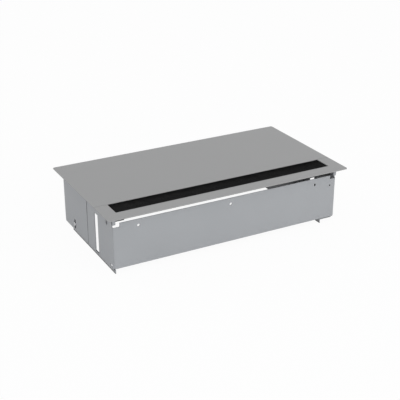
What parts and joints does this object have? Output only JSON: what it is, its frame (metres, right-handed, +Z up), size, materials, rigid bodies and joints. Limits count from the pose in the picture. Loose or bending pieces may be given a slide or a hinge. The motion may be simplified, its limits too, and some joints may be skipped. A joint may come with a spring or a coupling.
{
  "type": "desktop socket block",
  "caption": "Sheet steel box for a desk cut-out: hinged flat lid, strip with a long brush slot for cables, flange frame, slotted side walls and a block of sockets inside.",
  "frame": {"origin": "middle of the box's footprint, on the plane of the carrier plates' lower edges, which it stands on when it isn't in a desk", "axes": "+X along the desk edge to the right, +Y away from the user towards the hinge, +Z up"},
  "size_m": [0.5, 0.2764, 0.1141],
  "materials": {
    "cover_grey": "satin powder coat",
    "case_grey": "satin powder coat",
    "zinc": "zinc plated",
    "hinge_steel": "satin",
    "rail_aluminium": "anodised",
    "housing_aluminium": "anodised",
    "bristle": "fine nylon bristles",
    "rubber": "matt",
    "black_plastic": "fine moulded grain",
    "socket_plastic": "fine moulded grain",
    "jack_plastic": "smooth",
    "brass": "bare",
    "contact_steel": "nickel plated"
  },
  "bodies": {
    "box": {"blank_insert": "socket_plastic", "bracket_screws": "case_grey", "brush_bristles": "bristle", "brush_rail": "rail_aluminium", "bus_bar_line": "brass", "bus_bar_neutral": "brass", "cap_screws": "zinc", "carrier_bolt": "zinc", "carrier_left": "case_grey", "carrier_nut": "zinc", "carrier_right": "case_grey", "carrier_washer": "zinc", "data_insert_1": "socket_plastic", "data_insert_2": "socket_plastic", "data_jack_1": "jack_plastic", "data_jack_2": "jack_plastic", "data_jack_3": "jack_plastic", "data_jack_4": "jack_plastic", "earth_bar": "contact_steel", "earth_nut": "brass", "earth_stud": "zinc", "earth_washer": "brass", "end_cap_left": "black_plastic", "end_cap_right": "black_plastic", "flange_frame": "case_grey", "front_shell": "case_grey", "front_strip": "cover_grey", "hinge_leaf_frame": "hinge_steel", "hinge_pin": "zinc", "inlet_pins": "contact_steel", "lid_bumpers": "rubber", "mains_inlet": "black_plastic", "rear_shell": "case_grey", "side_wall_left": "case_grey", "side_wall_right": "case_grey", "socket_housing": "housing_aluminium", "socket_insert_1": "socket_plastic", "socket_insert_2": "socket_plastic", "socket_insert_3": "socket_plastic", "socket_insert_4": "socket_plastic", "socket_insert_5": "socket_plastic", "strip_bracket_left": "case_grey", "strip_bracket_right": "case_grey", "strip_nuts": "zinc", "strip_pads": "rubber", "strip_spacers": "zinc"},
    "lid_body": {"lid": "cover_grey", "lid_stiffener": "cover_grey", "lid_ribs": "cover_grey", "hinge_leaf_lid": "hinge_steel"}
  },
  "joints": [
    {"name": "lid_hinge", "type": "hinge", "parent": "box", "child": "lid_body", "pos_m": [0, 0.1368, 0.11185], "axis": [-1, 0, 0], "range_deg": [0, 100]}
  ]
}
